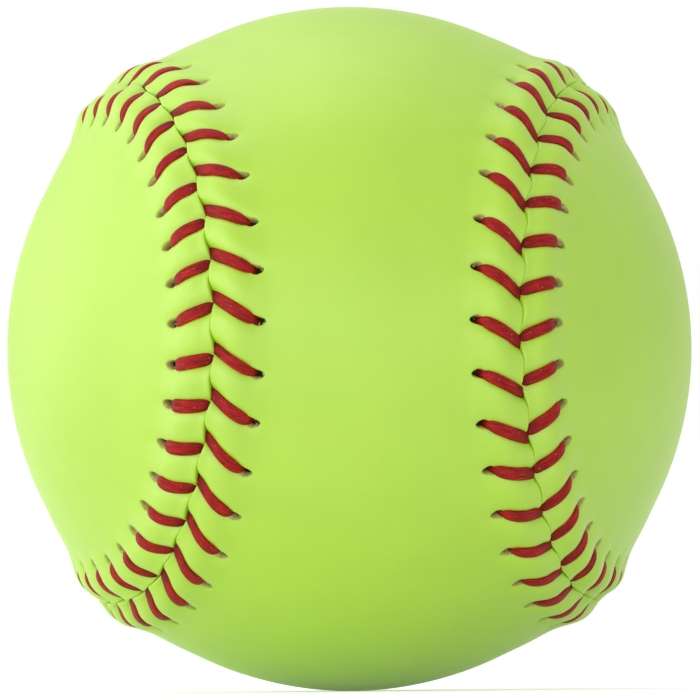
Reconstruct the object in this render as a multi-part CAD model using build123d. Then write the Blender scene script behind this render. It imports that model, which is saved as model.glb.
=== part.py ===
from build123d import *
import os
from math import acos, asin, atan2, cos, degrees, hypot, pi, sin, tan

# Ball and core, in millimetres
BALL_CIRCUMFERENCE = 304.8      # round the smooth part of the cover
COVER_THICKNESS = 1.5           # synthetic leather
CEMENT_THICKNESS = 0.3          # film between the cover and the core
CORE_CLEARANCE = 0.02           # between the film and the core

# Course of the seam over the ball
WAIST_WIDTH = 40.6              # narrowest part of a cover panel, measured over the surface
SEAM_END_RADIUS = 34.8          # radius of the four round ends of the seam

# Sewing: two threads, each with a needle of its own, cross in the seam at every stitch
STITCH_COUNT = 88               # holes along the edge of each panel
HOLE_SETBACK = 6.1              # from the seam line to the middle of a hole
THREAD_DIAMETER = 1.0
THREAD_CLEARANCE = 0.05         # between a thread and the leather that it lies on
HOLE_CLEARANCE = 0.3            # round a thread in its hole
NEEDLE_CLEARANCE = 0.2          # between the two threads where they cross in the seam
STITCH_SLANT = 2.7              # how far a stitch leans forward between its hole and the seam
TAIL_LENGTH = 2.5               # start of a thread, tucked under the cover
END_SHARE = 0.6                 # part of its last run that a thread's end follows under the cover

# Rim that each panel has along the seam, lifted off the core by the thread under it
RIM_ROOM = 0.2                  # spare room between the lower runs of thread and the core
RIM_SLOPE_WIDTH = 5.9           # from the line of holes down to the smooth part of the cover
EDGE_LIFT = 0.4                 # height of the rolled edge above the line of holes

# Sizes that follow from these
ball_radius = BALL_CIRCUMFERENCE / (2 * pi)
core_radius = ball_radius - COVER_THICKNESS - CEMENT_THICKNESS - CORE_CLEARANCE
thread_radius = THREAD_DIAMETER / 2
channel_radius = thread_radius + THREAD_CLEARANCE
hole_radius = thread_radius + HOLE_CLEARANCE
needle_spacing = THREAD_DIAMETER + NEEDLE_CLEARANCE
bend_radius = THREAD_DIAMETER
rim_width = HOLE_SETBACK + RIM_SLOPE_WIDTH
hole_height = 2 * channel_radius + RIM_ROOM - CEMENT_THICKNESS
edge_height = hole_height + EDGE_LIFT
edge_radius = COVER_THICKNESS / 2
edge_middle = edge_height - edge_radius
edge_setback = channel_radius + edge_radius
end_angle = asin(SEAM_END_RADIUS / ball_radius)
sheet_angle = 1.2 * end_angle   # from the seam to past the middle of a panel, seen from the ball's centre

CENTRE = Vector(0, 0, 0)
FRONT = 1
BACK = -1


class SeamArc:
    """One stretch of the seam: part of a circle on the ball, about an axis through the ball's centre."""

    def __init__(self, axis, angle, start, travel, sweep, front_side):
        self.axis = axis                # unit vector along the circle's axis
        self.angle = angle              # from the axis to the seam, seen from the ball's centre, radians
        self.start = start              # unit vector from the axis to the start of the stretch
        self.travel = travel            # unit vector along the seam at the start
        self.sweep = sweep              # turn about the axis, radians
        self.front_side = front_side    # 1 where the front panel lies away from the axis, -1 towards it
        self.length = ball_radius * sin(angle) * sweep

    def point(self, along, aside, rise):
        """Place at a distance along the stretch, beside it (front panel positive) and above the ball."""
        turn = along / (ball_radius * sin(self.angle))
        tilt = self.angle + self.front_side * aside / ball_radius
        outward = self.start * cos(turn) + self.travel * sin(turn)
        return (self.axis * cos(tilt) + outward * sin(tilt)) * (ball_radius + rise)


def quarter_turn(vector, times):
    """Carry a vector to a later quarter of the seam: each quarter turn about Y also swaps front and back."""
    for _ in range(times):
        vector = Vector(vector.Z, -vector.Y, -vector.X)
    return vector


def seam_course():
    """The whole seam, from the upper end of the right-hand round end of the front panel's waist, going down."""
    lean = WAIST_WIDTH / (2 * ball_radius) + end_angle
    end_axis = Vector(sin(lean), -cos(lean), 0)
    to_waist = Vector(-cos(lean), -sin(lean), 0)
    down = Vector(0, 0, -1)

    # Each straight run is a great circle through its crossing point that just touches the round ends
    crossing = Vector(1, 0, -1).normalized()
    back = Vector(0, 1, 0)
    across = crossing.cross(back)
    reach = hypot(end_axis.dot(back), end_axis.dot(across))
    bearing = atan2(end_axis.dot(across), end_axis.dot(back)) - acos(sin(end_angle) / reach)
    run_axis = back * cos(bearing) + across * sin(bearing)
    touch = (end_axis - run_axis * end_axis.dot(run_axis)).normalized()
    run_travel = (crossing - touch * crossing.dot(touch)).normalized()
    half_end = atan2(touch.dot(down), touch.dot(to_waist))
    half_run = acos(touch.dot(crossing))
    end_start = to_waist * cos(half_end) - down * sin(half_end)
    end_travel = to_waist * sin(half_end) + down * cos(half_end)

    arcs = []
    for quarter in range(4):
        front_side = 1 if quarter % 2 == 0 else -1
        axis, start, travel = [quarter_turn(v, quarter) for v in (end_axis, end_start, end_travel)]
        arcs.append(SeamArc(axis, end_angle, start, travel, 2 * half_end, front_side))
        axis, start, travel = [quarter_turn(v, quarter) for v in (run_axis, touch, run_travel)]
        arcs.append(SeamArc(axis, pi / 2, start, travel, 2 * half_run, front_side))
    return arcs


seam = seam_course()
seam_length = sum(arc.length for arc in seam)
pitch = seam_length / STITCH_COUNT


def seam_point(along, aside, rise):
    """Place measured along the seam from the right of the front waist, beside it and above the ball."""
    left = (along + seam[0].length / 2) % seam_length
    for arc in seam[:-1]:
        if left <= arc.length:
            return arc.point(left, aside, rise)
        left -= arc.length
    return seam[-1].point(left, aside, rise)


def section_spot(arc, side, aside, rise):
    """Corner of a cross-section, on the side of the seam away from the arc's axis (1) or towards it (-1)."""
    tilt = arc.angle + side * aside / ball_radius
    radius = ball_radius + rise
    return Vector(radius * sin(tilt), radius * cos(tilt))


def sheet_reach(arc, side):
    """Angle that a panel covers from the seam: up to the axis in a round end, past its middle elsewhere."""
    inside_round_end = side < 0 and arc.angle < pi / 2
    return arc.angle if inside_round_end else sheet_angle


def sheet_line(arc, side, rise):
    """Outline of the smooth part of a panel, from the foot of the rim inwards."""
    far = sheet_reach(arc, side) * ball_radius
    stations = (rim_width, (rim_width + far) / 2, far)
    return ThreePointArc(*[section_spot(arc, side, aside, rise) for aside in stations])


def rim_lines(arc, side, drop):
    """Outline of the rim at a depth in the leather: up the slope to the holes, then over the crown."""
    foot_tilt = arc.angle + side * rim_width / ball_radius
    to_seam = Vector(-side * cos(foot_tilt), side * sin(foot_tilt))
    foot = section_spot(arc, side, rim_width, -drop)
    hole = section_spot(arc, side, HOLE_SETBACK, hole_height - drop)
    edge = section_spot(arc, side, edge_setback, edge_height - drop)
    slope = TangentArc(foot, hole, tangent=to_seam)
    crown = TangentArc(hole, edge, tangent=slope % 1)
    return slope, crown


def cover_section(arc, side):
    """Cross-section of a cover panel: rolled edge, crown, slope and smooth part."""
    outer_slope, outer_crown = rim_lines(arc, side, 0)
    inner_slope, inner_crown = rim_lines(arc, side, COVER_THICKNESS)
    outer_sheet = sheet_line(arc, side, 0)
    inner_sheet = sheet_line(arc, side, -COVER_THICKNESS)
    tip = section_spot(arc, side, channel_radius, edge_middle)
    rolled_edge = ThreePointArc(outer_crown @ 1, tip, inner_crown @ 1)
    far_end = Line(outer_sheet @ 1, inner_sheet @ 1)
    return make_face([outer_slope, outer_crown, rolled_edge, inner_crown, inner_slope,
                      inner_sheet, far_end, outer_sheet])


def cement_section(arc, side):
    """Cross-section of the cement film under the smooth part of a panel."""
    top = sheet_line(arc, side, -COVER_THICKNESS)
    bottom = sheet_line(arc, side, -COVER_THICKNESS - CEMENT_THICKNESS)
    return make_face([top, Line(top @ 1, bottom @ 1), bottom, Line(bottom @ 0, top @ 0)])


def back_piece(section):
    """A figure-of-eight piece of the back half, with one cross-section all along the seam."""
    sectors = []
    for arc in seam:
        side = BACK * arc.front_side
        plane = Plane(origin=CENTRE, x_dir=arc.start, z_dir=arc.start.cross(arc.axis))
        axis = Axis(CENTRE, arc.start.cross(arc.travel))
        sector = revolve(plane * section(arc, side), axis=axis, revolution_arc=degrees(arc.sweep))
        if sheet_reach(arc, side) == sheet_angle:
            above = arc.point(arc.length / 2, 0, 0).Z > 0
            sector = split(sector, bisect_by=Plane.XY, keep=Keep.TOP if above else Keep.BOTTOM)
        sectors.append(sector.solid())
    return sectors[0].fuse(*sectors[1:])


def front_copy(piece):
    """The same piece laid the other way round over the front half."""
    return mirror(piece, about=Plane.XZ).rotate(Axis.Y, 90).solid()


def stitch_hole(stitch, side):
    """Punch for one hole, square to the ball."""
    base = seam_point(stitch * pitch, side * HOLE_SETBACK, hole_height - 2 * COVER_THICKNESS)
    tip = seam_point(stitch * pitch, side * HOLE_SETBACK, hole_height + COVER_THICKNESS)
    onward = seam_point((stitch + 1) * pitch, side * HOLE_SETBACK, hole_height) - base
    plane = Plane(origin=base, x_dir=onward, z_dir=tip - base)
    return Solid.make_cylinder(hole_radius, (tip - base).length, plane)


def punched(blank, side):
    """Cover panel with its row of holes, without the plugs that the punches leave."""
    pieces = blank.cut(*[stitch_hole(stitch, side) for stitch in range(STITCH_COUNT)]).solids()
    return max(pieces, key=lambda piece: piece.volume)


def seam_measures(arc, spot):
    """Distance beside the seam and height above the ball of a place in a cross-section."""
    return (atan2(spot.X, spot.Y) - arc.angle) * ball_radius, spot.length - ball_radius


def line_meeting(start, direction, other_start, other_direction):
    """Place where two lines of a cross-section meet."""
    reach = (other_start - start).cross(other_direction).Z / direction.cross(other_direction).Z
    return start + direction * reach


def stitch_stations():
    """Corners of a stitch in cross-section: under the hole, over it, over the crown and in the seam."""
    arc = seam[1]
    crown = rim_lines(arc, 1, 0)[1]
    under_crown = rim_lines(arc, 1, COVER_THICKNESS)[1]
    over_hole = crown @ 0 - crown.arc_center
    over_edge = crown @ 1 - crown.arc_center
    lifted_hole = crown @ 0 + over_hole.normalized() * channel_radius
    lifted_edge = crown @ 1 + over_edge.normalized() * channel_radius
    under_hole = under_crown @ 0 - over_hole.normalized() * channel_radius
    seam_up = section_spot(arc, 1, 0, 0)
    hole_up = section_spot(arc, 1, HOLE_SETBACK, 0)
    hole_low = line_meeting(CENTRE, hole_up, under_hole, crown % 0)
    hole_high = line_meeting(CENTRE, hole_up, lifted_hole, crown % 0)
    crown_top = line_meeting(lifted_hole, crown % 0, lifted_edge, crown % 1)
    dive_high = line_meeting(CENTRE, seam_up, lifted_edge, crown % 1)
    dive_low = section_spot(arc, 1, 0, edge_middle - edge_radius - channel_radius)
    return [seam_measures(arc, spot) for spot in (hole_low, hole_high, crown_top, dive_high, dive_low)]


def stitch_corners(stitch, side):
    """Corners of one stitch, up through its hole and down into the seam between the panels."""
    lean = STITCH_SLANT + side * needle_spacing / 2
    corners = []
    for aside, rise in stitch_stations():
        along = stitch * pitch + lean * (1 - aside / HOLE_SETBACK)
        corners.append(seam_point(along, side * aside, rise))
    return corners


def crown_bend(corners):
    """Largest bend that the two runs over the crown leave room for."""
    hole_high, crown_top, dive_high = corners[1:4]
    first = crown_top - hole_high
    second = dive_high - crown_top
    turn = first.get_angle(second) * pi / 180
    return 0.45 * min(first.length, second.length) / tan(turn / 2)


def thread(first_side):
    """One thread, once round the seam, coming up through the two panels by turns."""
    sides = [first_side if stitch % 2 == 0 else -first_side for stitch in range(STITCH_COUNT + 1)]
    stitches = [stitch_corners(stitch, side) for stitch, side in enumerate(sides)]
    hole_low_aside, hole_low_rise = stitch_stations()[0]
    joint = seam_point(TAIL_LENGTH, first_side * hole_low_aside, hole_low_rise)
    edges = []
    for stitch in range(STITCH_COUNT):
        corners = stitches[stitch]
        share = END_SHARE if stitch == STITCH_COUNT - 1 else 0.5
        next_joint = corners[-1] + (stitches[stitch + 1][0] - corners[-1]) * share
        radii = [bend_radius, bend_radius, crown_bend(corners), bend_radius, bend_radius]
        edges += FilletPolyline(joint, *corners, next_joint, radius=radii).edges()
        joint = next_joint
    path = Wire(edges)
    tube = sweep(Plane(origin=path @ 0, z_dir=path % 0) * Circle(thread_radius), path=path).solid()
    print("thread length", round(path.length, 1), "volume", round(tube.volume, 2),
          "section times length", round(pi * thread_radius ** 2 * path.length, 2))
    return tube


back_blank = back_piece(cover_section)
back_film = back_piece(cement_section)
nodes = {
    "core": Sphere(core_radius).solid(),
    "cement_film_front": front_copy(back_film),
    "cement_film_back": back_film,
    "cover_panel_front": punched(front_copy(back_blank), FRONT),
    "cover_panel_back": punched(back_blank, BACK),
    "thread_first_needle": thread(FRONT),
    "thread_second_needle": thread(BACK),
}
print("seam length", round(seam_length, 1), "stitch pitch", round(pitch, 2))

os.makedirs("parts", exist_ok=True)
for name, solid in nodes.items():
    solid.label = name
    export_step(solid, f"parts/{name}.step")
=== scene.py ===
import math

import bpy
import numpy as np
from mathutils import Matrix


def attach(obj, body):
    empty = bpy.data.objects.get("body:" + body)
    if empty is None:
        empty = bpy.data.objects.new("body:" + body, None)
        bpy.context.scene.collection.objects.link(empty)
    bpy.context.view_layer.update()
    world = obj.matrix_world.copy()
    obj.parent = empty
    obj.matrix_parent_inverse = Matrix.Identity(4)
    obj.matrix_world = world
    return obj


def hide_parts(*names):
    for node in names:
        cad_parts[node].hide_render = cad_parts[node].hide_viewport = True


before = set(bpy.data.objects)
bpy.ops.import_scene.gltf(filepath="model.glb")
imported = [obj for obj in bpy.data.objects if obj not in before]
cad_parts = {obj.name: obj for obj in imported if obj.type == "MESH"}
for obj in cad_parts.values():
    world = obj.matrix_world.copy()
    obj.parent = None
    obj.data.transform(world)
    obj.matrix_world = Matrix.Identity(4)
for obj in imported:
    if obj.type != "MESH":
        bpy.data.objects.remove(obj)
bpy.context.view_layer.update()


# Core: one ball of polyurethane foam, cast in a closed mould, which leaves a thin
# skin with fine pores. The cover is cemented round it, so only its weight is felt.
foam_light = (214, 200, 170)
foam_dark = (186, 166, 130)
foam_patch_width = 8.0          # millimetres, as all lengths in this script
foam_pore_width = 0.6


def screen_colour(red, green, blue):
    """Colour as a screen shows it, 0 to 255, as the linear values that a shader takes."""
    levels = [level / 255 for level in (red, green, blue)]
    return (*[x / 12.92 if x <= 0.04045 else ((x + 0.055) / 1.055) ** 2.4 for x in levels], 1.0)


def pattern_scale(width):
    """Scale of a texture whose features are this wide, on a mesh in metres."""
    return 1000 / width


def feed(tree, socket, value):
    """Link a socket to another one, or set its value."""
    if isinstance(value, bpy.types.NodeSocket):
        tree.links.new(value, socket)
    else:
        socket.default_value = value


def add_node(tree, kind, settings=(), **inputs):
    """Add a shader node, with its settings and its inputs."""
    node = tree.nodes.new(kind)
    for name, value in dict(settings).items():
        setattr(node, name, value)
    for name, value in inputs.items():
        feed(tree, node.inputs[name.replace("_", " ")], value)
    return node


def mix_colours(tree, share, first, second):
    """Socket with the first colour where the share is 0 and the second where it is 1."""
    node = add_node(tree, "ShaderNodeMix", {"data_type": "RGBA"})
    for socket, value in zip((node.inputs[0], node.inputs[6], node.inputs[7]), (share, first, second)):
        feed(tree, socket, value)
    return node.outputs[2]


def new_effect(name, inputs, output, output_kind):
    """Shader node group: its tree, its input node and its output node."""
    effect = bpy.data.node_groups.new(name, "ShaderNodeTree")
    for label, kind in inputs:
        effect.interface.new_socket(label, in_out="INPUT", socket_type=kind)
    effect.interface.new_socket(output, in_out="OUTPUT", socket_type=output_kind)
    return effect, effect.nodes.new("NodeGroupInput"), effect.nodes.new("NodeGroupOutput")


def soft_patches():
    """Effect: one colour in a lighter and a darker tone, in soft patches."""
    inputs = [("Light tone", "NodeSocketColor"), ("Dark tone", "NodeSocketColor"),
              ("Scale", "NodeSocketFloat")]
    effect, given, out = new_effect("soft patches", inputs, "Colour", "NodeSocketColor")
    place = add_node(effect, "ShaderNodeTexCoord").outputs["Object"]
    cloud = add_node(effect, "ShaderNodeTexNoise", Vector=place, Scale=given.outputs["Scale"],
                     Detail=4.0, Roughness=0.55)
    spread = add_node(effect, "ShaderNodeMapRange", Value=cloud.outputs["Fac"], From_Min=0.3, From_Max=0.7)
    tone = mix_colours(effect, spread.outputs["Result"],
                       given.outputs["Light tone"], given.outputs["Dark tone"])
    feed(effect, out.inputs["Colour"], tone)
    return effect


def fine_pebble():
    """Effect: height of a skin with small rounded grains and shallow lines between them."""
    effect, given, out = new_effect("fine pebble", [("Scale", "NodeSocketFloat")],
                                    "Height", "NodeSocketFloat")
    place = add_node(effect, "ShaderNodeTexCoord").outputs["Object"]
    grains = add_node(effect, "ShaderNodeTexVoronoi", {"feature": "SMOOTH_F1"}, Vector=place,
                      Scale=given.outputs["Scale"], Smoothness=0.6)
    dust = add_node(effect, "ShaderNodeTexNoise", Vector=place, Scale=given.outputs["Scale"], Detail=3.0)
    height = add_node(effect, "ShaderNodeMath", {"operation": "SUBTRACT"})
    feed(effect, height.inputs[0], dust.outputs["Fac"])
    feed(effect, height.inputs[1], grains.outputs["Distance"])
    feed(effect, out.inputs["Height"], height.outputs[0])
    return effect


def new_finish(name):
    """New material, its node tree and its shader."""
    finish = bpy.data.materials.new(name)
    finish.use_nodes = True
    return finish, finish.node_tree, finish.node_tree.nodes["Principled BSDF"]


def dress(piece, finishes):
    """Give a piece its materials."""
    piece.data.materials.clear()
    for finish in finishes:
        piece.data.materials.append(finish)


patches_effect = soft_patches()
pebble_effect = fine_pebble()


def foam_finish():
    """Cast foam: cream, matt, with fine pores."""
    finish, tree, shader = new_finish("cast foam")
    tone = add_node(tree, "ShaderNodeGroup", {"node_tree": patches_effect},
                    Light_tone=screen_colour(*foam_light), Dark_tone=screen_colour(*foam_dark),
                    Scale=pattern_scale(foam_patch_width))
    pores = add_node(tree, "ShaderNodeGroup", {"node_tree": pebble_effect},
                     Scale=pattern_scale(foam_pore_width))
    bump = add_node(tree, "ShaderNodeBump", Height=pores.outputs["Height"], Strength=0.4, Distance=0.0002)
    feed(tree, shader.inputs["Base Color"], tone.outputs["Colour"])
    feed(tree, shader.inputs["Normal"], bump.outputs["Normal"])
    shader.inputs["Roughness"].default_value = 0.85
    return finish


dress(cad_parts["core"], [foam_finish()])


# Cement films: contact cement, brushed on the inside of each panel and on the core.
# It dries to a thin amber rubber that holds the smooth part of the cover down.
cement_light = (196, 160, 88)
cement_dark = (150, 112, 52)
cement_patch_width = 5.0
brush_mark_width = 1.2


def cement_finish():
    """Dried contact cement: amber, half glossy, with brush marks."""
    finish, tree, shader = new_finish("dried cement")
    tone = add_node(tree, "ShaderNodeGroup", {"node_tree": patches_effect},
                    Light_tone=screen_colour(*cement_light), Dark_tone=screen_colour(*cement_dark),
                    Scale=pattern_scale(cement_patch_width))
    marks = add_node(tree, "ShaderNodeGroup", {"node_tree": pebble_effect},
                     Scale=pattern_scale(brush_mark_width))
    bump = add_node(tree, "ShaderNodeBump", Height=marks.outputs["Height"], Strength=0.3, Distance=0.0001)
    feed(tree, shader.inputs["Base Color"], tone.outputs["Colour"])
    feed(tree, shader.inputs["Normal"], bump.outputs["Normal"])
    shader.inputs["Roughness"].default_value = 0.35
    return finish


dried_cement = cement_finish()
for film in ("cement_film_front", "cement_film_back"):
    dress(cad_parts[film], [dried_cement])


# Cover panels: two equal figure-of-eight pieces of optic-yellow synthetic leather, die-cut
# with a row of holes along the edge. The tight thread draws the edges together, so that the
# leather swells to a pillow between each two stitches and rolls down into the seam.
ball_circumference = 304.8
ball_radius = ball_circumference / (2 * math.pi)
waist_width = 40.6
seam_end_radius = 34.8
stitch_count = 88
leather_thickness = 1.5
stitch_slant = {1: 3.1, -1: 1.9}    # lean of a stitch from its hole to the seam: front panel, back panel
slant_drift = 0.25                  # change of the lean round the ball
slant_bend = 1.15                   # above 1, a stitch leaves its hole square to the seam
edge_roll = 0.45                    # radius of the rolled edge
edge_tilt = 48                      # degrees, where the two panels meet
edge_wall = 0.9                     # from the roll down into the seam
edge_notch = 0.08                   # how far a thread draws the edge back
hole_middle = 5.9                   # from the seam
hole_half_length = 1.05
hole_half_width = 0.62
hole_depth = 1.5
hole_taper = 0.2
hole_section = ((0, 1), (0.75, 1), (0.93, 0.8), (1.0, 0.12), (1.08, 0.03), (1.25, 0))    # depth by the ring
floor_shade_ring = 0.78                   # painted shade is full on the floor of a hole up to this ring, and fades out to its rim
cut_ring = 1.01                     # and its cut wall to this one
crown_line = ((0.6, 1.95), (2.5, 2.28), (4.0, 2.12), (6.0, 1.25), (8.0, 0.6), (11.0, 0.28), (16.0, 0.0))
valley_line = ((0.0, 0.98), (0.75, 0.92), (1.5, 0.8), (2.5, 0.65), (3.5, 0.6), (4.7, 0.62), (5.9, 0.4),
               (7.2, 0.14), (9.5, 0.0))
valley_half_width = 1.05
valley_closing = 0.05               # how much narrower the valley is at the seam
closing_reach = 2.5                 # from the seam, where it has its full width
valley_shoulder = 3.6               # the higher, the sharper
dome_share = 0.35                   # part of the valley's depth that spreads over the whole pillow
leather_least = 0.3                 # thickness of the leather where a thread presses it
under_line = ((0.05, 0.1), (0.6, -0.3), (3.0, -0.6), (5.0, -1.1), (8.0, -1.35), (12.0, -1.5), (16.0, -1.5))
seam_wander = 0.2                   # how far the pillows push the seam aside
pillow_wave = (0.8, 2.1)            # part of the wander that follows the stitches, and its phase
slow_waves = ((17, 0.3, 0.4), (29, 0.25, 0.0))    # waves round the whole seam, their parts and phases
wander_reach = 2.5                  # from the seam, where the wander ends
sewing_seed = {1: 11, -1: 12}
hole_slip = 0.14                    # unevenness of the sewing
slant_slip = 0.22
puff_slip = 0.09
ring_steps = (0.4, 0.75, 0.93, 1.0, 1.08, 1.25, 1.5, 1.85)    # rings round a hole, in shares of its size
pillow_steps = (0.25, 0.5, 0.75, 1.0)                        # from the last ring to the middle of a pillow
columns = 2 * (len(ring_steps) + len(pillow_steps))          # over one stitch
round_until = 1.08                  # rings up to this one are round, and the last one follows the grid
between_rings = 9.0                 # stands for the ring number of a place on a pillow
lean_until = 8.5                    # from the seam: up to here the columns lean with the stitches
even_from = 15.0                    # and from here on they are evenly spaced
roll_turns = (1.0, 1.0, 0.8, 0.6, 0.4, 0.2)       # rows of the rolled edge, in shares of its tilt
crown_row_count = 9
slope_rows = (8.5, 9.3, 10.2)       # rows on the slope of the rim, by their distance from the seam
foot_rows = (11.6, 13.0, 14.5, 16.0)              # and at its foot, where the grid is coarser
coarse_step = 4
middle_rows = 20
spine_draw = 0.15                   # how far the middle of a panel stops short of its round ends


def unit(vector):
    """The same direction with length 1."""
    return vector / np.linalg.norm(vector)


def seam_course():
    """Arrays over the stretches of the seam: circles, by turns a round end and a straight run."""
    end_angle = math.asin(seam_end_radius / ball_radius)
    lean = waist_width / (2 * ball_radius) + end_angle
    end_axis = np.array((math.sin(lean), -math.cos(lean), 0.0))
    to_waist = np.array((-math.cos(lean), -math.sin(lean), 0.0))
    down = np.array((0.0, 0.0, -1.0))
    back = np.array((0.0, 1.0, 0.0))
    crossing = unit(np.array((1.0, 0.0, -1.0)))
    across = np.cross(crossing, back)
    reach = math.hypot(end_axis @ back, end_axis @ across)
    bearing = math.atan2(end_axis @ across, end_axis @ back) - math.acos(math.sin(end_angle) / reach)
    run_axis = back * math.cos(bearing) + across * math.sin(bearing)
    touch = unit(end_axis - run_axis * (end_axis @ run_axis))
    run_travel = unit(crossing - touch * (crossing @ touch))
    half_end = math.atan2(touch @ down, touch @ to_waist)
    half_run = math.acos(touch @ crossing)
    end_start = to_waist * math.cos(half_end) - down * math.sin(half_end)
    end_travel = to_waist * math.sin(half_end) + down * math.cos(half_end)
    stretches = []
    for quarter in range(4):
        turn = np.linalg.matrix_power(quarter_turn, quarter)
        side = 1 if quarter % 2 == 0 else -1
        round_end = (end_axis, end_start, end_travel, end_angle, 2 * half_end)
        run = (run_axis, touch, run_travel, math.pi / 2, 2 * half_run)
        for axis, start, travel, angle, sweep in (round_end, run):
            stretches.append((turn @ axis, turn @ start, turn @ travel, angle, sweep, side))
    return [np.array(values) for values in zip(*stretches)]


quarter_turn = np.array(((0, 0, 1), (0, -1, 0), (-1, 0, 0)))    # to the next quarter, front for back
seam_axis, seam_start, seam_travel, seam_angle, seam_sweep, seam_side = seam_course()
stretch_length = ball_radius * np.sin(seam_angle) * seam_sweep
stretch_end = np.cumsum(stretch_length)
seam_length = stretch_end[-1]
stitch_pitch = seam_length / stitch_count


def stretch_at(along):
    """Number of the stretch at a distance along the seam, and the distance from its start."""
    left = (along + stretch_length[0] / 2) % seam_length
    stretch = np.minimum(np.searchsorted(stretch_end, left), len(stretch_end) - 1)
    return stretch, left - (stretch_end - stretch_length)[stretch]


def seam_place(along, aside, rise):
    """Places measured along the seam, beside it (front panel positive) and above the smooth ball."""
    stretch, left = stretch_at(along)
    turn = (left / (ball_radius * np.sin(seam_angle[stretch])))[..., None]
    tilt = (seam_angle[stretch] + seam_side[stretch] * aside / ball_radius)[..., None]
    outward = seam_start[stretch] * np.cos(turn) + seam_travel[stretch] * np.sin(turn)
    return (seam_axis[stretch] * np.cos(tilt) + outward * np.sin(tilt)) * (ball_radius + rise)[..., None]


def seam_spread(along, aside):
    """How much longer a line beside the seam is than the seam itself."""
    angle, side = [values[stretch_at(along)[0]] for values in (seam_angle, seam_side)]
    return np.sin(angle + side * aside / ball_radius) / np.sin(angle)


def smooth_line(points, place):
    """Height of a smooth line through a few points, level at both ends."""
    xs, ys = np.array(points).T
    slopes = np.zeros(len(xs))
    slopes[1:-1] = (ys[2:] - ys[:-2]) / (xs[2:] - xs[:-2])
    k = np.clip(np.searchsorted(xs, place) - 1, 0, len(xs) - 2)
    width = xs[k + 1] - xs[k]
    t = np.clip((place - xs[k]) / width, 0, 1)
    rest = 1 - t
    return (ys[k] * (1 + 2 * t) * rest ** 2 + slopes[k] * width * t * rest ** 2
            + ys[k + 1] * t ** 2 * (3 - 2 * t) - slopes[k + 1] * width * t ** 2 * rest)


def ease(low, high, place):
    """0 below low, 1 above high, and smooth between them."""
    t = np.clip((place - low) / (high - low), 0, 1)
    return t * t * (3 - 2 * t)


def sewing(side):
    """Uneven sewing of one panel: holes along the seam, leans and swelling of the pillows."""
    chance = np.random.default_rng(sewing_seed[side])
    holes = np.arange(stitch_count) * stitch_pitch + chance.normal(0, hole_slip, stitch_count)
    drift = slant_drift * np.cos(2 * np.pi * holes / seam_length)
    leans = stitch_slant[side] - side * drift + chance.normal(0, slant_slip, stitch_count)
    puffs = chance.normal(0, puff_slip, stitch_count)
    return holes, leans, puffs


def stitch_line(holes, leans, distance):
    """Middle of each stitch along the seam, at a distance from the seam."""
    share = np.clip(1 - distance / hole_middle, 0, None)
    return holes + leans * share ** slant_bend


def seam_shift(along, distance):
    """How far the leather at a distance from the seam wanders towards the front panel."""
    part, phase = pillow_wave
    wave = part * np.cos(2 * np.pi * along / stitch_pitch - phase)
    slow = 2 * np.pi * along / seam_length
    for count, part, phase in slow_waves:
        wave = wave + part * np.sin(count * slow + phase)
    return seam_wander * wave * (1 - ease(0.0, wander_reach, distance))


def rolled_rows():
    """Distance from the seam and drop of each row of leather, from the edge in the seam inwards."""
    rings = np.array(ring_steps)
    hole_rows = hole_middle + hole_half_length * np.concatenate([-rings[::-1], [0.0], rings])
    turn = math.radians(edge_tilt) * np.array(roll_turns)
    crown_rows = np.linspace(edge_roll * np.sin(turn[0]), hole_rows[0], crown_row_count + 1)[:-1]
    roll_rows = edge_roll * (np.sin(turn[0]) - np.sin(turn))
    distance = np.concatenate([roll_rows, crown_rows, hole_rows, slope_rows])
    drop = np.zeros(len(distance))
    drop[:len(turn)] = edge_roll * (1 - np.cos(turn))
    drop[0] += edge_wall
    return distance, drop


def stitch_columns(holes, leans, offset, share, distance, side):
    """Columns of leather: place along the seam, real distance from the thread and to the pillow's middle.

    offset is the distance from the thread, and share the part of the way from there to that middle.
    """
    middle = stitch_line(holes[:, None, None], leans[:, None, None], distance)
    spread = seam_spread(middle, side * distance)
    nudge = 0.01
    beyond = stitch_line(holes[:, None, None], leans[:, None, None], distance + nudge)
    slope = (beyond - middle) / nudge
    stretch = spread / np.sqrt(1 + (spread * slope) ** 2)
    after = (np.roll(middle, -1, axis=0) - middle) % seam_length
    before = (middle - np.roll(middle, 1, axis=0)) % seam_length
    half_gap = np.where(offset < 0, before, after) / 2
    near = np.abs(offset) / stretch
    step = near + (half_gap - near) * share
    return middle + np.sign(offset) * step, step * stretch, half_gap * stretch


def row_quads(first, second):
    """Faces between two rows of vertices that close round the seam."""
    return np.stack([first, np.roll(first, -1), np.roll(second, -1), second], axis=1).tolist()


def row_joint(fine, coarse):
    """Faces between a fine row of vertices and a coarse one."""
    rows = [np.roll(fine, -k)[::coarse_step] for k in range(coarse_step + 1)]
    return np.stack([*rows, np.roll(coarse, -1), coarse], axis=1).tolist()


def panel_middle(side, border, radius, rows):
    """Rows of the smooth middle of a panel, from the foot of the rim to the line down its middle."""
    to_front = np.linalg.matrix_power(quarter_turn, 0 if side > 0 else 3)
    facing = border @ to_front.T
    height = np.arctan2(facing[:, 2], -facing[:, 1])
    width = np.arcsin(facing[:, 0] / np.linalg.norm(facing, axis=1))
    made = []
    for t in np.linspace(0, 1, rows + 1)[1:]:
        up, out = height * (1 - spine_draw * t), width * (1 - t)
        spots = np.stack([np.sin(out), -np.cos(out) * np.cos(up), np.cos(out) * np.sin(up)], axis=1)
        made.append(radius * spots @ to_front)
    return made


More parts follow.
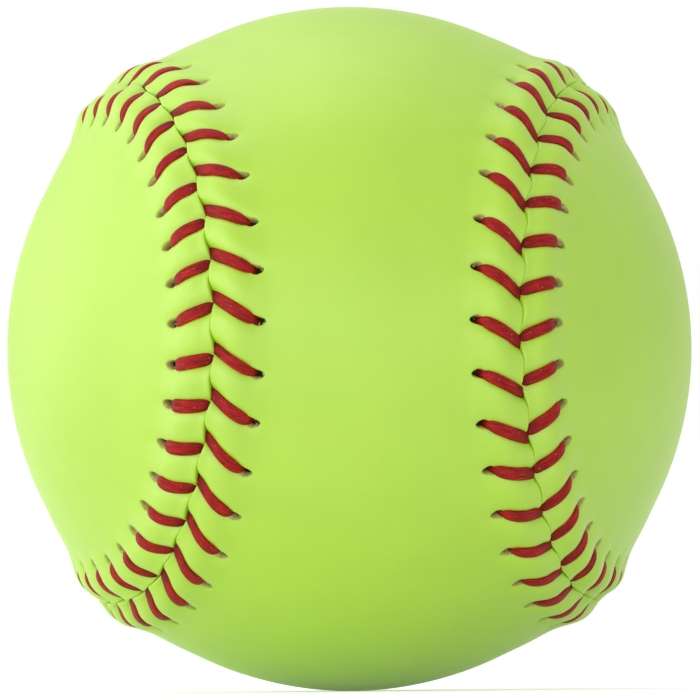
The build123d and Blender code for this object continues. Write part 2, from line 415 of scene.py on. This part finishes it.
def panel_mesh(side):
    """Closed mesh of one cover panel: places, faces, depth in its holes and the finish of each face."""
    holes, leans, puffs = sewing(side)
    rings = np.array(ring_steps) * hole_half_width
    shares = np.array(pillow_steps)
    half_offset = np.concatenate([rings, np.full(len(shares), rings[-1])])
    half_share = np.concatenate([np.zeros(len(rings)), shares])
    offset = np.concatenate([-half_offset[::-1], [0.0], half_offset[:-1]])[:, None]
    share = np.concatenate([half_share[::-1], [0.0], half_share[:-1]])[:, None]

    # The grid bends to rings round each hole
    distance, drop = rolled_rows()
    distance = np.concatenate([distance, foot_rows])[None, :]
    drop = np.concatenate([drop, np.zeros(len(foot_rows))])[None, :]
    roll = np.minimum(drop / drop[:, 1], 1)
    p = offset / hole_half_width + 0 * distance
    q = (distance - hole_middle) / hole_half_length + 0 * offset
    ring = np.where(share > 0, between_rings, np.maximum(np.abs(p), np.abs(q)))
    bend = (1 - ease(round_until, ring_steps[-1], ring)) * (ring / np.maximum(np.hypot(p, q), 1e-9) - 1)
    q = q * (1 + bend)
    p = p * (1 + bend) * (1 - hole_taper * (1 - ease(1.0, ring_steps[-1], ring)) * np.clip(q, 0, 1))
    distance = np.where(ring < between_rings, hole_middle + q * hole_half_length, distance)
    offset = np.where(ring < between_rings, p * hole_half_width, offset)

    # Heights: crown, valley under each thread, pillow, hole and rolled edge
    along, from_thread, to_pillow = stitch_columns(holes, leans, offset, share, distance, side)
    half_width = valley_half_width * (1 - valley_closing * (1 - ease(0.0, closing_reach, distance)))
    pinch = 1 / (1 + (from_thread / half_width) ** valley_shoulder)
    valley = smooth_line(valley_line, distance)
    dome = dome_share * (1 - np.clip(from_thread / to_pillow, 0, 1)) ** 2
    puff = np.where(offset < 0, np.roll(puffs, 1)[:, None, None], puffs[:, None, None])
    sunk = np.interp(ring, *np.array(hole_section).T)
    rise = smooth_line(crown_line, distance) - valley * (pinch + dome) + puff * valley * (1 - pinch)
    under_distance, under_rise = np.array(under_line).T
    least = np.interp(distance, under_distance, under_rise) + leather_least
    rise = np.maximum(rise - drop, least) - hole_depth * sunk
    column = np.arange(columns)[:, None] / columns - 0.5
    even = (np.arange(stitch_count)[:, None, None] + column) * stitch_pitch
    along = along + (even - along) * ease(lean_until, even_from, distance)
    aside = side * (distance + edge_notch * pinch * roll) + seam_shift(along, distance)
    spots = seam_place(along, aside, rise)

    # Underside, on a coarser grid
    coarse = np.arange(0, columns, coarse_step)
    under_along = stitch_columns(holes, leans, offset[coarse, :1], share[coarse],
                                 under_distance[None, :], side)[0]
    under_even = even[:, coarse]
    under_along = under_along + (under_even - under_along) * ease(lean_until, even_from, under_distance)
    under_aside = side * under_distance + seam_shift(under_along, under_distance)
    under_spots = seam_place(under_along, under_aside, under_rise + 0 * under_along)

    # Rows of vertices, each once round the seam
    fine_rows = distance.shape[1] - len(foot_rows)
    whole_rows = [spots[:, :, r].reshape(-1, 3) for r in range(fine_rows)]
    whole_rows += [spots[:, coarse, fine_rows + r].reshape(-1, 3) for r in range(len(foot_rows))]
    whole_rows += panel_middle(side, whole_rows[-1], ball_radius, middle_rows)
    under_rows = [under_spots[:, :, r].reshape(-1, 3) for r in range(len(under_distance))]
    under_rows += panel_middle(side, under_rows[-1], ball_radius - leather_thickness, middle_rows // 2)
    start = np.cumsum([0] + [len(row) for row in whole_rows + under_rows])
    numbers = [np.arange(start[r], start[r + 1]) for r in range(len(start) - 1)]

    # The rows of both halves of the panel meet on the line down its middle
    coarse_count = stitch_count * len(coarse)
    fold = len(coarse) + (coarse_count // 2 if side > 0 else 0)
    partner = (fold - np.arange(coarse_count)) % coarse_count
    for last in (len(whole_rows) - 1, len(numbers) - 1):
        numbers[last] = numbers[last][np.minimum(np.arange(coarse_count), partner)]

    faces = []
    for r in range(len(whole_rows) - 1):
        join = row_joint if r == fine_rows - 1 else row_quads
        faces += join(numbers[r], numbers[r + 1])
    under_faces = row_joint(numbers[0], numbers[len(whole_rows)])
    for r in range(len(whole_rows), len(numbers) - 1):
        under_faces += row_quads(numbers[r], numbers[r + 1])
    if side > 0:
        faces = [face[::-1] for face in faces]
    else:
        under_faces = [face[::-1] for face in under_faces]
    places = np.concatenate(whole_rows + under_rows)
    # painted shade at the bottom of each hole: 1 on its floor, 0 at its rim
    depth = np.interp(ring[:, :fine_rows], (floor_shade_ring, 1.0), (1, 0)) + np.zeros((stitch_count, 1, 1))
    depth_mask = np.zeros(len(places))
    depth_mask[:start[fine_rows]] = depth.transpose(2, 0, 1).ravel()
    raw = np.zeros(len(places), bool)
    raw[:start[fine_rows]] = (ring[:, :fine_rows] < cut_ring + 0 * depth).transpose(2, 0, 1).ravel()
    kinds = [1 if raw[face].all() else 0 for face in faces] + [2] * len(under_faces)
    return places, faces + under_faces, {"depth": depth_mask}, kinds


def new_piece(name, places, faces, masks):
    """Object with a smooth mesh, made in millimetres, and its masks on its vertices."""
    mesh = bpy.data.meshes.new(name)
    used = np.unique(np.concatenate([np.array(face) for face in faces]))
    number = np.full(len(places), -1)
    number[used] = np.arange(len(used))
    mesh.from_pydata((places[used] / 1000).tolist(), [], [number[face].tolist() for face in faces])
    for label, values in masks.items():
        kind = "FLOAT" if values.ndim == 1 else "FLOAT_VECTOR"
        field = "value" if values.ndim == 1 else "vector"
        layer = mesh.attributes.new(label, kind, "POINT")
        layer.data.foreach_set(field, values[used].astype(np.float32).ravel())
    mesh.polygons.foreach_set("use_smooth", np.ones(len(mesh.polygons), bool))
    mesh.update()
    piece = bpy.data.objects.new(name, mesh)
    bpy.context.scene.collection.objects.link(piece)
    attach(piece, "root")
    return piece


leather_light = (174, 219, 26)
leather_dark = (168, 213, 20)
leather_patch_width = 14.0
leather_grain_width = 0.45
hole_wall = (198, 184, 84)
hole_fuzz = (236, 229, 164)
# painted shade: the dark colour at the bottom of a hole
hole_floor_shade = (56, 49, 22)
# pale flecks in a hole: partly loose fibres, partly painted glints
fibre_glint_colour = (232, 229, 210)
fuzz_width = 0.6
fibre_glint_width = 0.5
backing_light = (230, 226, 208)
backing_dark = (206, 200, 180)
backing_weave_width = 0.8


def leather_finish():
    """Optic-yellow synthetic leather with a fine grain and a satin sheen."""
    finish, tree, shader = new_finish("optic leather")
    tone = add_node(tree, "ShaderNodeGroup", {"node_tree": patches_effect},
                    Light_tone=screen_colour(*leather_light), Dark_tone=screen_colour(*leather_dark),
                    Scale=pattern_scale(leather_patch_width))
    grain = add_node(tree, "ShaderNodeGroup", {"node_tree": pebble_effect},
                     Scale=pattern_scale(leather_grain_width))
    bump = add_node(tree, "ShaderNodeBump", Height=grain.outputs["Height"],
                    Strength=0.12, Distance=0.00005)
    feed(tree, shader.inputs["Base Color"], tone.outputs["Colour"])
    feed(tree, shader.inputs["Normal"], bump.outputs["Normal"])
    shader.inputs["Roughness"].default_value = 0.47
    shader.inputs["IOR"].default_value = 1.58
    shader.inputs["Specular IOR Level"].default_value = 1.0
    return finish


def raw_edge_finish():
    """Cut leather inside a hole: tan with pale fuzz, painted shade at the bottom, and pale flecks that are
    partly loose fibres and partly painted glints.
    """
    finish, tree, shader = new_finish("raw edge")
    fuzz = add_node(tree, "ShaderNodeGroup", {"node_tree": patches_effect},
                    Light_tone=screen_colour(*hole_fuzz), Dark_tone=screen_colour(*hole_wall),
                    Scale=pattern_scale(fuzz_width))
    # painted shade: the colour in a hole turns dark towards its bottom
    deep = add_node(tree, "ShaderNodeAttribute", {"attribute_name": "depth"}).outputs["Fac"]
    tone = mix_colours(tree, deep, fuzz.outputs["Colour"], screen_colour(*hole_floor_shade))
    place = add_node(tree, "ShaderNodeTexCoord").outputs["Object"]
    # pale flecks in a hole: partly loose fibres, partly painted glints
    fibre_glint_noise = add_node(tree, "ShaderNodeTexNoise", Vector=place, Scale=pattern_scale(fibre_glint_width),
                       Detail=1.0)
    fibre_glint_share = add_node(tree, "ShaderNodeMapRange", Value=fibre_glint_noise.outputs["Fac"],
                     From_Min=0.58, From_Max=0.66)
    tone = mix_colours(tree, fibre_glint_share.outputs["Result"], tone, screen_colour(*fibre_glint_colour))
    feed(tree, shader.inputs["Base Color"], tone)
    shader.inputs["Roughness"].default_value = 0.9
    shader.inputs["Specular IOR Level"].default_value = 0.1
    return finish


def backing_finish():
    """Cloth backing on the inside of the leather."""
    finish, tree, shader = new_finish("cloth backing")
    tone = add_node(tree, "ShaderNodeGroup", {"node_tree": patches_effect},
                    Light_tone=screen_colour(*backing_light), Dark_tone=screen_colour(*backing_dark),
                    Scale=pattern_scale(backing_weave_width))
    feed(tree, shader.inputs["Base Color"], tone.outputs["Colour"])
    shader.inputs["Roughness"].default_value = 0.95
    return finish


panel_finishes = [leather_finish(), raw_edge_finish(), backing_finish()]
for side, node in ((1, "cover_panel_front"), (-1, "cover_panel_back")):
    places, faces, masks, kinds = panel_mesh(side)
    panel = new_piece(node + "_leather", places, faces, masks)
    dress(panel, panel_finishes)
    panel.data.polygons.foreach_set("material_index", kinds)
    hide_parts(node)


# Threads: two waxed red threads, each sewn with its own needle once round the seam. A thread comes
# up through a hole, lies flat over the rim between two pillows, dives into the seam and goes on
# under the leather to the next hole of the other panel.
thread_width = 1.74
thread_thickness = 0.72
thread_points = 20                  # round the thread
thread_ply = 0.055                  # depth of the lines between its plies, as a share of its thickness
width_slip = 0.06
groove_depth = 0.22                 # of the line down the middle of a stitch, as a share of its thickness
seam_lap = {1: 0.25, -1: -0.05}     # how far a stitch reaches over the seam
foot_setback = 0.55                 # from the middle of the hole to the thread in it
thread_seat = 0.46                  # middle of a thread above the leather, as a share of its thickness
under_shares = (0.2, 0.55, 0.85)    # stations under the leather, as shares of the way to the next hole
under_rises = (-1.0, -1.1, -1.1)
under_width = 0.7                   # of the thread there, as shares of its width and thickness
under_thickness = 1.1
seam_shade_reach = (0.2, 1.8)          # from the seam: full painted shade up to the first, none from the second
groove_chance = (0.5, 0.4)          # middle and spread of how much of its groove a stitch has
side_fullness = 0.85                # of the section: 1 for an ellipse, and the lower, the squarer
top_fullness = 0.7
thread_seed = {1: 21, -1: 22}
thread_light = (200, 32, 30)
thread_dark = (88, 5, 3)
# painted shade where a thread dives into the seam: how far its red goes to the dark red
seam_shade_strength = 0.65
wax_fleck = (236, 170, 160)
fibre_scale = (5.5, 0.5, 5.5)       # of the fibre pattern, to a millimetre: across, along and through
fleck_scale = 3.2


def valley_floor(distance):
    """Height of the leather under a thread."""
    return smooth_line(crown_line, distance) - smooth_line(valley_line, distance) * (1 + dome_share)


def stitch_stations(side):
    """Stations of a stitch from its hole into the seam: distance, height, width and thickness."""
    foot = hole_middle - foot_setback
    stations = [(foot, -1.0, 0.78, 1.1), (foot - 0.03, -0.1, 0.8, 1.05), (foot - 0.14, 0.75, 0.86, 1.0)]
    for distance, width in ((4.6, 0.96), (3.8, 1.0), (2.9, 1.0), (2.0, 1.0), (1.2, 1.0)):
        stations.append((distance, valley_floor(distance) + thread_seat * thread_thickness, width, 1.0))
    lap = seam_lap[side]
    stations += [(0.55 - lap, 0.86, 1.0, 1.0), (0.1 - lap, 0.38, 0.98, 1.0),
                 (-0.05 - lap, -0.6, 0.95, 1.0)]
    return np.array(stations)


def thread_route(first_side):
    """Stations of a whole thread: place, direction along the seam, width, thickness, groove and painted
    shade.
    """
    chance = np.random.default_rng(thread_seed[first_side])
    share = np.array(under_shares)
    seams = {side: sewing(side) for side in (1, -1)}
    route = []
    for stitch in range(stitch_count):
        side = first_side if stitch % 2 == 0 else -first_side
        stations = stitch_stations(side)
        holes, leans, _ = seams[side]
        later_hole = seams[-side][0][(stitch + 1) % stitch_count]
        later_hole = later_hole + (seam_length if stitch == stitch_count - 1 else 0)
        along = stitch_line(holes[stitch], leans[stitch], stations[:, 0])
        along = np.concatenate([along, along[-1] + (later_hole - along[-1]) * share])
        aside = np.concatenate([side * stations[:, 0], -side * stations[0, 0] * share])
        rise = np.concatenate([stations[:, 1], under_rises])
        spots = seam_place(along, aside, rise)
        across = seam_place(along + 0.5, aside, rise) - seam_place(along - 0.5, aside, rise)
        slip = 1 + chance.normal(0, width_slip)
        groove = np.clip(chance.normal(*groove_chance), 0, 1)
        width = np.concatenate([stations[:, 2], np.full(len(share), under_width)]) * slip * thread_width
        thick = np.concatenate([stations[:, 3], np.full(len(share), under_thickness)]) * thread_thickness
        # painted shade: full where the thread dives into the seam and under the leather, none on the rim
        seam_shade = np.concatenate([np.interp(stations[:, 0], seam_shade_reach, (1, 0)), np.ones(len(share))])
        sizes = np.stack([width, thick, np.full(len(spots), groove), seam_shade], axis=1)
        route.append(np.concatenate([spots, across, sizes], axis=1))
    return np.concatenate(route)


def rounded(route, times):
    """The same route with its corners cut, over and over."""
    for _ in range(times):
        early = 0.75 * route[:-1] + 0.25 * route[1:]
        late = 0.25 * route[:-1] + 0.75 * route[1:]
        route = np.stack([early, late], axis=1).reshape(-1, route.shape[1])
    return route


def thread_mesh(first_side):
    """Closed flat tube with plies along it, and the place of each vertex along and across the thread."""
    route = rounded(thread_route(first_side), 2)
    middle, across = route[:, :3], route[:, 3:6]
    width, thick, groove, seam_shade = [route[:, k:k + 1] for k in (6, 7, 8, 9)]
    ahead = np.gradient(middle, axis=0)
    ahead = ahead / np.linalg.norm(ahead, axis=1)[:, None]
    across = across / np.linalg.norm(across, axis=1)[:, None]
    out = np.cross(ahead, across)
    shear = np.linalg.norm(out, axis=1)[:, None]
    out = out / shear
    turn = 2 * np.pi * np.arange(thread_points) / thread_points
    ply = 1 + thread_ply * np.where(np.arange(thread_points) % 2 == 0, 1, -1)
    wide = np.sign(np.cos(turn)) * np.abs(np.cos(turn)) ** side_fullness / 2
    high = np.sign(np.sin(turn)) * np.abs(np.sin(turn)) ** top_fullness / 2 * ply
    high = high - groove * groove_depth * (np.arange(thread_points) == thread_points // 4)
    places = (middle[:, None] + across[:, None] * (width / shear * wide)[:, :, None]
              + out[:, None] * (thick * high)[:, :, None])
    length = np.concatenate([[0], np.cumsum(np.linalg.norm(np.diff(middle, axis=0), axis=1))])
    fibre = np.stack([width * wide, length[:, None] + 0 * width * wide, thick * high], axis=2)
    rings = np.arange(places.shape[0] * thread_points).reshape(-1, thread_points)
    faces = []
    for first, second in zip(rings[:-1], rings[1:]):
        faces += row_quads(first, second)
    faces += [rings[0].tolist()[::-1], rings[-1].tolist()]
    masks = {"fibre": fibre.reshape(-1, 3), "seam_shade": np.repeat(seam_shade[:, 0], thread_points)}
    return places.reshape(-1, 3), faces, masks


def thread_finish():
    """Waxed red thread: fine fibres along it in lighter and darker reds, pale flecks of wax, and painted
    shade near the seam.
    """
    finish, tree, shader = new_finish("waxed thread")
    place = add_node(tree, "ShaderNodeAttribute", {"attribute_name": "fibre"}).outputs["Vector"]
    drawn = add_node(tree, "ShaderNodeVectorMath", {"operation": "MULTIPLY"})
    feed(tree, drawn.inputs[0], place)
    drawn.inputs[1].default_value = fibre_scale
    fibres = add_node(tree, "ShaderNodeTexNoise", Vector=drawn.outputs[0], Scale=1.0,
                      Detail=4.0, Roughness=0.65)
    tones = add_node(tree, "ShaderNodeMapRange", Value=fibres.outputs["Fac"], From_Min=0.32, From_Max=0.7)
    red = mix_colours(tree, tones.outputs["Result"],
                      screen_colour(*thread_dark), screen_colour(*thread_light))
    # painted shade: the thread turns to the dark red where it dives into the seam
    seam_shade = add_node(tree, "ShaderNodeAttribute", {"attribute_name": "seam_shade"}).outputs["Fac"]
    shade = add_node(tree, "ShaderNodeMapRange", Value=seam_shade, To_Max=seam_shade_strength)
    red = mix_colours(tree, shade.outputs["Result"], red, screen_colour(*thread_dark))
    specks = add_node(tree, "ShaderNodeTexNoise", Vector=place, Scale=fleck_scale, Detail=2.0)
    wax = add_node(tree, "ShaderNodeMapRange", Value=specks.outputs["Fac"],
                   From_Min=0.68, From_Max=0.78, To_Max=0.6)
    red = mix_colours(tree, wax.outputs["Result"], red, screen_colour(*wax_fleck))
    feed(tree, shader.inputs["Base Color"], red)
    bump = add_node(tree, "ShaderNodeBump", Height=fibres.outputs["Fac"], Strength=0.6, Distance=0.00012)
    feed(tree, shader.inputs["Normal"], bump.outputs["Normal"])
    shader.inputs["Roughness"].default_value = 0.55
    shader.inputs["Specular IOR Level"].default_value = 0.2
    return finish


waxed_thread = thread_finish()
for side, node in ((1, "thread_first_needle"), (-1, "thread_second_needle")):
    thread = new_piece(node + "_laid", *thread_mesh(side))
    dress(thread, [waxed_thread])
    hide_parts(node)


# Floor and background: a plain white table in a white studio. Both are white to the
# camera and in reflections, and softer as light on the ball.
floor_reach = 4000.0
floor_colour = (250, 250, 250)
floor_glow = {150: 0.4, 900: 0.6}   # by the distance from the ball; lower near it, to keep its shadow
sky_light = 0.6


def flat_piece(name, corners):
    """Rectangle through four corners, as a piece of the stage."""
    mesh = bpy.data.meshes.new(name)
    mesh.from_pydata([[value / 1000 for value in corner] for corner in corners], [], [(0, 1, 2, 3)])
    piece = bpy.data.objects.new(name, mesh)
    bpy.context.scene.collection.objects.link(piece)
    return piece


def seen_share(tree):
    """Socket that is 1 for what is seen, straight, reflected or through glass, and 0 for other light."""
    rays = add_node(tree, "ShaderNodeLightPath").outputs
    share = rays["Is Camera Ray"]
    for kind in ("Is Glossy Ray", "Is Transmission Ray"):
        total = add_node(tree, "ShaderNodeMath", {"operation": "ADD", "use_clamp": True})
        feed(tree, total.inputs[0], share)
        feed(tree, total.inputs[1], rays[kind])
        share = total.outputs[0]
    return share


def white_floor():
    """Floor that the ball stands on and throws its shadow on."""
    floor = flat_piece("floor", [(x * floor_reach, y * floor_reach, -ball_radius)
                                 for x, y in ((-1, -1), (1, -1), (1, 1), (-1, 1))])
    finish, tree, shader = new_finish("white floor")
    place = add_node(tree, "ShaderNodeTexCoord").outputs["Object"]
    far = add_node(tree, "ShaderNodeVectorMath", {"operation": "LENGTH"})
    feed(tree, far.inputs[0], place)
    (near_reach, near_glow), (far_reach, far_glow) = floor_glow.items()
    ramp = add_node(tree, "ShaderNodeMapRange", Value=far.outputs["Value"], From_Min=near_reach / 1000,
                    From_Max=far_reach / 1000, To_Min=near_glow, To_Max=far_glow)
    glow = add_node(tree, "ShaderNodeMath", {"operation": "MULTIPLY"})
    feed(tree, glow.inputs[0], seen_share(tree))
    feed(tree, glow.inputs[1], ramp.outputs["Result"])
    shader.inputs["Base Color"].default_value = screen_colour(*floor_colour)
    shader.inputs["Roughness"].default_value = 0.9
    shader.inputs["Specular IOR Level"].default_value = 0.1
    shader.inputs["Emission Color"].default_value = (1, 1, 1, 1)
    feed(tree, shader.inputs["Emission Strength"], glow.outputs[0])
    floor.data.materials.append(finish)


def white_background():
    """White where the camera sees it, and softer as light on the ball."""
    world = bpy.data.worlds.new("white studio")
    bpy.context.scene.world = world
    world.use_nodes = True
    tree = world.node_tree
    tree.nodes.clear()
    soft = add_node(tree, "ShaderNodeBackground", Color=(1, 1, 1, 1), Strength=sky_light)
    white = add_node(tree, "ShaderNodeBackground", Color=(1, 1, 1, 1), Strength=1.0)
    both = add_node(tree, "ShaderNodeMixShader", Fac=seen_share(tree))
    feed(tree, both.inputs[1], soft.outputs[0])
    feed(tree, both.inputs[2], white.outputs[0])
    add_node(tree, "ShaderNodeOutputWorld", Surface=both.outputs[0])


white_floor()
white_background()


# Lamps: three large soft boxes, turned to the ball. One stands at its left, one hangs
# above it, and one stands in front, a little to the left.
def soft_box(name, place, width, height, brightness):
    """Lamp that is a lit rectangle, turned to the ball, with a brightness of 1 for white."""
    lamp = bpy.data.lights.new(name, "AREA")
    lamp.shape = "RECTANGLE"
    lamp.size = width / 1000
    lamp.size_y = height / 1000
    lamp.energy = brightness * math.pi * lamp.size * lamp.size_y
    box = bpy.data.objects.new(name, lamp)
    box.location = [value / 1000 for value in place]
    box.rotation_euler = box.location.to_track_quat("Z", "Y").to_euler()
    bpy.context.scene.collection.objects.link(box)


soft_box("left soft box", place=(-600, -20, 200), width=1300, height=520, brightness=1.1)
soft_box("top soft box", place=(-150, 100, 650), width=600, height=600, brightness=1.0)
soft_box("front soft box", place=(-250, -800, 125), width=1500, height=320, brightness=1.25)


# Camera: just above the floor, looking a little up at the middle of the ball and almost
# square to the front panel, as in the photograph.
camera_distance = 569.0
camera_turn = 2.974                 # degrees about Z, then X, then the line of sight
camera_tip = -4.609
camera_roll = -0.540
camera_lens = 205.6
camera_sensor = 36
photo_width = 700                   # pixels
frame_shift = (0.53, -0.96)         # pixels of the photograph


def photo_camera():
    """Camera at the photograph's place, looking at the middle of the ball."""
    lens = bpy.data.cameras.new("camera")
    lens.lens = camera_lens
    lens.sensor_width = camera_sensor
    lens.shift_x, lens.shift_y = [pixels / photo_width for pixels in frame_shift]
    camera = bpy.data.objects.new("camera", lens)
    view = (Matrix.Rotation(math.radians(camera_roll), 3, "Y")
            @ Matrix.Rotation(math.radians(camera_tip), 3, "X")
            @ Matrix.Rotation(math.radians(camera_turn), 3, "Z"))
    right, ahead, up = view
    turned = Matrix((right, up, -ahead)).transposed().to_4x4()
    camera.matrix_world = Matrix.Translation(-ahead * camera_distance / 1000) @ turned
    bpy.context.scene.collection.objects.link(camera)
    bpy.context.scene.camera = camera


photo_camera()
bpy.context.scene.view_settings.view_transform = "Standard"
